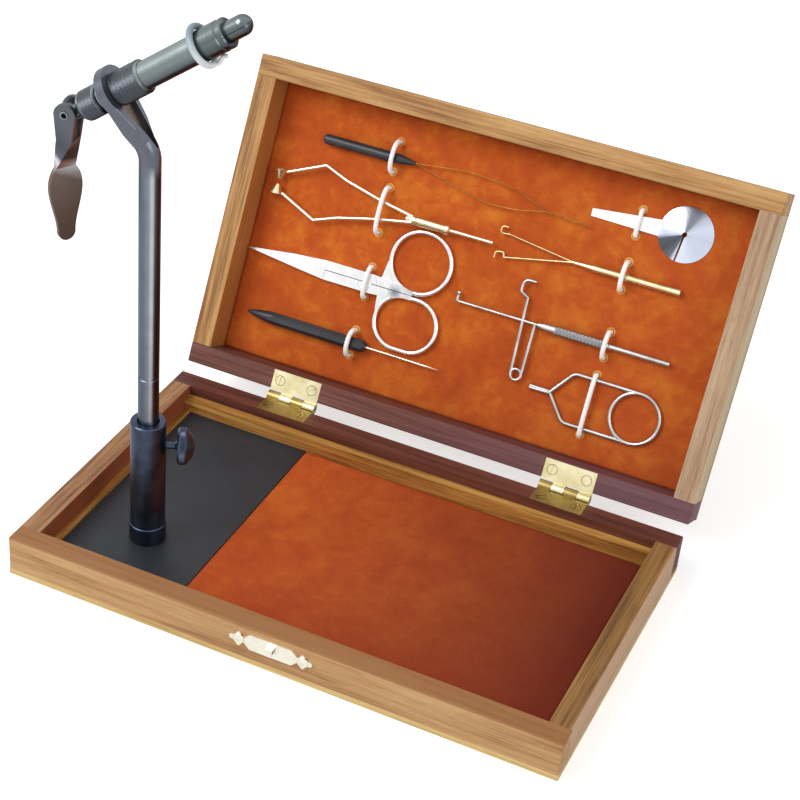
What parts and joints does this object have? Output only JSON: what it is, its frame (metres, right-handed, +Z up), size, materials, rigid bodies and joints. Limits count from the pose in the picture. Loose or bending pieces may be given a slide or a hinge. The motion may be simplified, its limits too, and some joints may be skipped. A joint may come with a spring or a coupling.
{
  "type": "fly tying cabinet",
  "caption": "Portable hinged wooden fly tying case: vise on a pedestal stands in the open base, hand tools lie under elastic loops on the suede-lined lid.",
  "frame": {"origin": "centre of the underside of the base", "axes": "+X runs right along the hinge line, +Y to the back where the lid stands, +Z up"},
  "size_m": [0.26, 0.2471, 0.2648],
  "materials": {
    "wood_gold": "oiled open grain",
    "wood_dark": "oiled dark grain",
    "panel_wood": "sanded",
    "suede_orange": "napped suede",
    "plate_black": "satin black",
    "gunmetal": "polished blued",
    "brass": "bright",
    "steel_bright": "polished",
    "copper_wire": "fine drawn",
    "black_plastic": "satin",
    "elastic_white": "covered elastic",
    "clip_pale": "matt"
  },
  "bodies": {
    "base": {"base_front_board": "wood_gold", "base_back_board": "wood_dark", "base_left_board": "wood_gold", "base_right_board": "wood_gold", "base_bottom_panel": "panel_wood", "base_front_rail": "wood_gold", "base_back_rail": "wood_gold", "base_left_strip": "wood_gold", "base_right_strip": "wood_gold", "vise_plate": "plate_black", "base_lining_board": "panel_wood", "base_lining": "suede_orange", "catch_plate": "brass", "catch_tacks": "brass", "hinge_left_base_leaf": "brass", "hinge_right_base_leaf": "brass", "hinge_pins": "brass", "base_hinge_screws": "brass", "vise_boss": "gunmetal", "vise_socket_tube": "gunmetal"},
    "lid": {"lid_front_board": "wood_gold", "lid_back_board": "wood_dark", "lid_left_board": "wood_gold", "lid_right_board": "wood_gold", "lid_top_panel": "panel_wood", "lid_lining": "suede_orange", "hinge_left_lid_leaf": "brass", "hinge_right_lid_leaf": "brass", "lid_hinge_screws": "brass", "elastic_loops": "elastic_white"},
    "thumbscrew": {"vise_thumbscrew": "gunmetal"},
    "stem": {"vise_stem": "gunmetal", "vise_barrel": "gunmetal", "vise_front_collar": "gunmetal", "vise_material_clip": "clip_pale", "vise_ferrule": "gunmetal"},
    "nut": {"vise_adjusting_nut": "gunmetal"},
    "jaws": {"vise_jaws": "gunmetal", "vise_lever_pin": "gunmetal"},
    "lever": {"vise_cam_lever": "gunmetal"},
    "threader": {"threader_handle": "black_plastic", "threader_wire": "copper_wire"},
    "bobbin": {"bobbin_frame": "steel_bright", "bobbin_body": "brass", "bobbin_tube": "steel_bright", "bobbin_cups": "brass"},
    "scissors": {"scissors_blade_b": "steel_bright", "scissors_screw": "steel_bright"},
    "scissors_half": {"scissors_blade_a": "steel_bright"},
    "bodkin": {"bodkin_handle": "black_plastic", "bodkin_needle": "steel_bright"},
    "guard": {"hackle_guard": "steel_bright"},
    "twister": {"twister_handle": "brass", "twister_wires": "brass"},
    "whip": {"whip_finisher_rod": "steel_bright"},
    "whip_grip": {"whip_finisher_grip": "steel_bright"},
    "pliers": {"hackle_pliers": "steel_bright"}
  },
  "joints": [
    {"name": "lid_hinge", "type": "hinge", "parent": "base", "child": "lid", "pos_m": [0, 0.0804, 0.02], "axis": [1, 0, 0], "range_deg": [0, 60]},
    {"name": "stem_height", "type": "slide", "parent": "base", "child": "stem", "axis": [0, 0, 1], "range_m": [-0.018, 0.012]},
    {"name": "thumbscrew_turn", "type": "hinge", "parent": "base", "child": "thumbscrew", "pos_m": [-0.086, -0.032, 0.0586], "axis": [0.8988, 0.4384, 0], "continuous": true},
    {"name": "nut_turn", "type": "hinge", "parent": "stem", "child": "nut", "pos_m": [-0.10183, -0.03422, 0.22251], "axis": [0.8011, 0.1126, 0.5878], "continuous": true},
    {"name": "jaw_draw", "type": "slide", "parent": "stem", "child": "jaws", "axis": [0.8011, 0.1126, 0.5878], "range_m": [0, 0.0006]},
    {"name": "cam_lever_turn", "type": "hinge", "parent": "jaws", "child": "lever", "pos_m": [-0.11993, -0.03677, 0.21108], "axis": [-0.1392, 0.9903, 0], "range_deg": [0, 80]},
    {"name": "threader_slide", "type": "slide", "parent": "lid", "child": "threader", "axis": [1, 0, 0], "range_m": [-0.02, 0]},
    {"name": "bobbin_slide", "type": "slide", "parent": "lid", "child": "bobbin", "axis": [1, 0, 0], "range_m": [-0.003, 0.008]},
    {"name": "scissors_slide", "type": "slide", "parent": "lid", "child": "scissors", "axis": [1, 0, 0], "range_m": [-0.001, 0.003]},
    {"name": "scissors_pivot", "type": "hinge", "parent": "scissors", "child": "scissors_half", "pos_m": [-0.05321, 0.1218, 0.07185], "axis": [0, 0.8973, -0.4415], "range_deg": [0, 4]},
    {"name": "bodkin_slide", "type": "slide", "parent": "lid", "child": "bodkin", "axis": [1, 0, 0], "range_m": [-0.008, 0.008]},
    {"name": "guard_slide", "type": "slide", "parent": "lid", "child": "guard", "axis": [1, 0, 0], "range_m": [-0.008, 0.01]},
    {"name": "twister_slide", "type": "slide", "parent": "lid", "child": "twister", "axis": [1, 0, 0], "range_m": [-0.005, 0.015]},
    {"name": "whip_slide", "type": "slide", "parent": "lid", "child": "whip", "axis": [1, 0, 0], "range_m": [0, 0.002]},
    {"name": "whip_grip_spin", "type": "hinge", "parent": "whip", "child": "whip_grip", "pos_m": [0.05, 0.12298, 0.07595], "axis": [1, 0, 0], "continuous": true},
    {"name": "pliers_slide", "type": "slide", "parent": "lid", "child": "pliers", "axis": [1, 0, 0], "range_m": [0, 0.01]}
  ],
  "couplings": [
    {"joint": "jaw_draw", "follows": "cam_lever_turn", "m_per_rad": 0.00042972}
  ]
}
